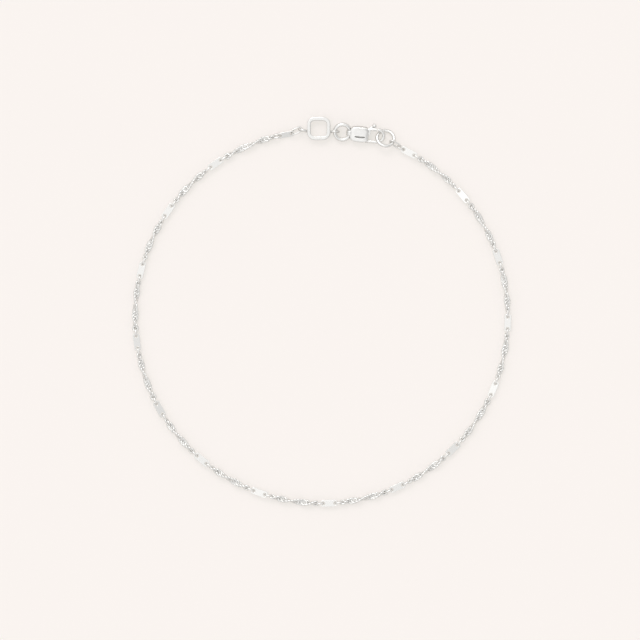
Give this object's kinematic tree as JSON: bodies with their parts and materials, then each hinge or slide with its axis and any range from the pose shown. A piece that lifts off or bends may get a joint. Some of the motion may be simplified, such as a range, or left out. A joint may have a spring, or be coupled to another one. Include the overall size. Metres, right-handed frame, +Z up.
{
  "type": "chain bracelet",
  "caption": "Slim chain bracelet of small flat plates joined by runs of fine twisted links, closed as a ring by a lobster clasp beside a plain open link.",
  "frame": {"origin": "bottom centre of the closed bracelet's box, on the surface that it lies on", "axes": "+Z up from the surface, +Y towards the clasp, +X to the right as seen from above"},
  "size_m": [0.0582, 0.0598, 0.0016],
  "materials": {
    "silver": "polished silver"
  },
  "bodies": {
    "bracelet": {"bar_01": "silver", "bar_02": "silver", "bar_03": "silver", "bar_04": "silver", "bar_05": "silver", "bar_06": "silver", "bar_07": "silver", "bar_08": "silver", "bar_09": "silver", "bar_10": "silver", "bar_11": "silver", "bar_12": "silver", "bar_13": "silver", "bar_14": "silver", "bar_15": "silver", "bar_16": "silver", "twist_run_01": "silver", "twist_run_02": "silver", "twist_run_03": "silver", "twist_run_04": "silver", "twist_run_05": "silver", "twist_run_06": "silver", "twist_run_07": "silver", "twist_run_08": "silver", "twist_run_09": "silver", "twist_run_10": "silver", "twist_run_11": "silver", "twist_run_12": "silver", "twist_run_13": "silver", "twist_run_14": "silver", "twist_run_15": "silver", "end_link_01": "silver", "catch_link": "silver", "end_link_16": "silver", "end_ring": "silver", "jump_ring": "silver", "plain_link": "silver", "clasp_body": "silver"},
    "lever": {"clasp_lever": "silver"}
  },
  "joints": [
    {"name": "lever_hinge", "type": "hinge", "parent": "bracelet", "child": "lever", "pos_m": [0.0067, 0.0277, 0.00088], "axis": [0.0192, 0.207, -0.9781], "range_deg": [0, 15], "stiffness_Nm_per_rad": 0.0005, "springref_deg": -11.46}
  ]
}
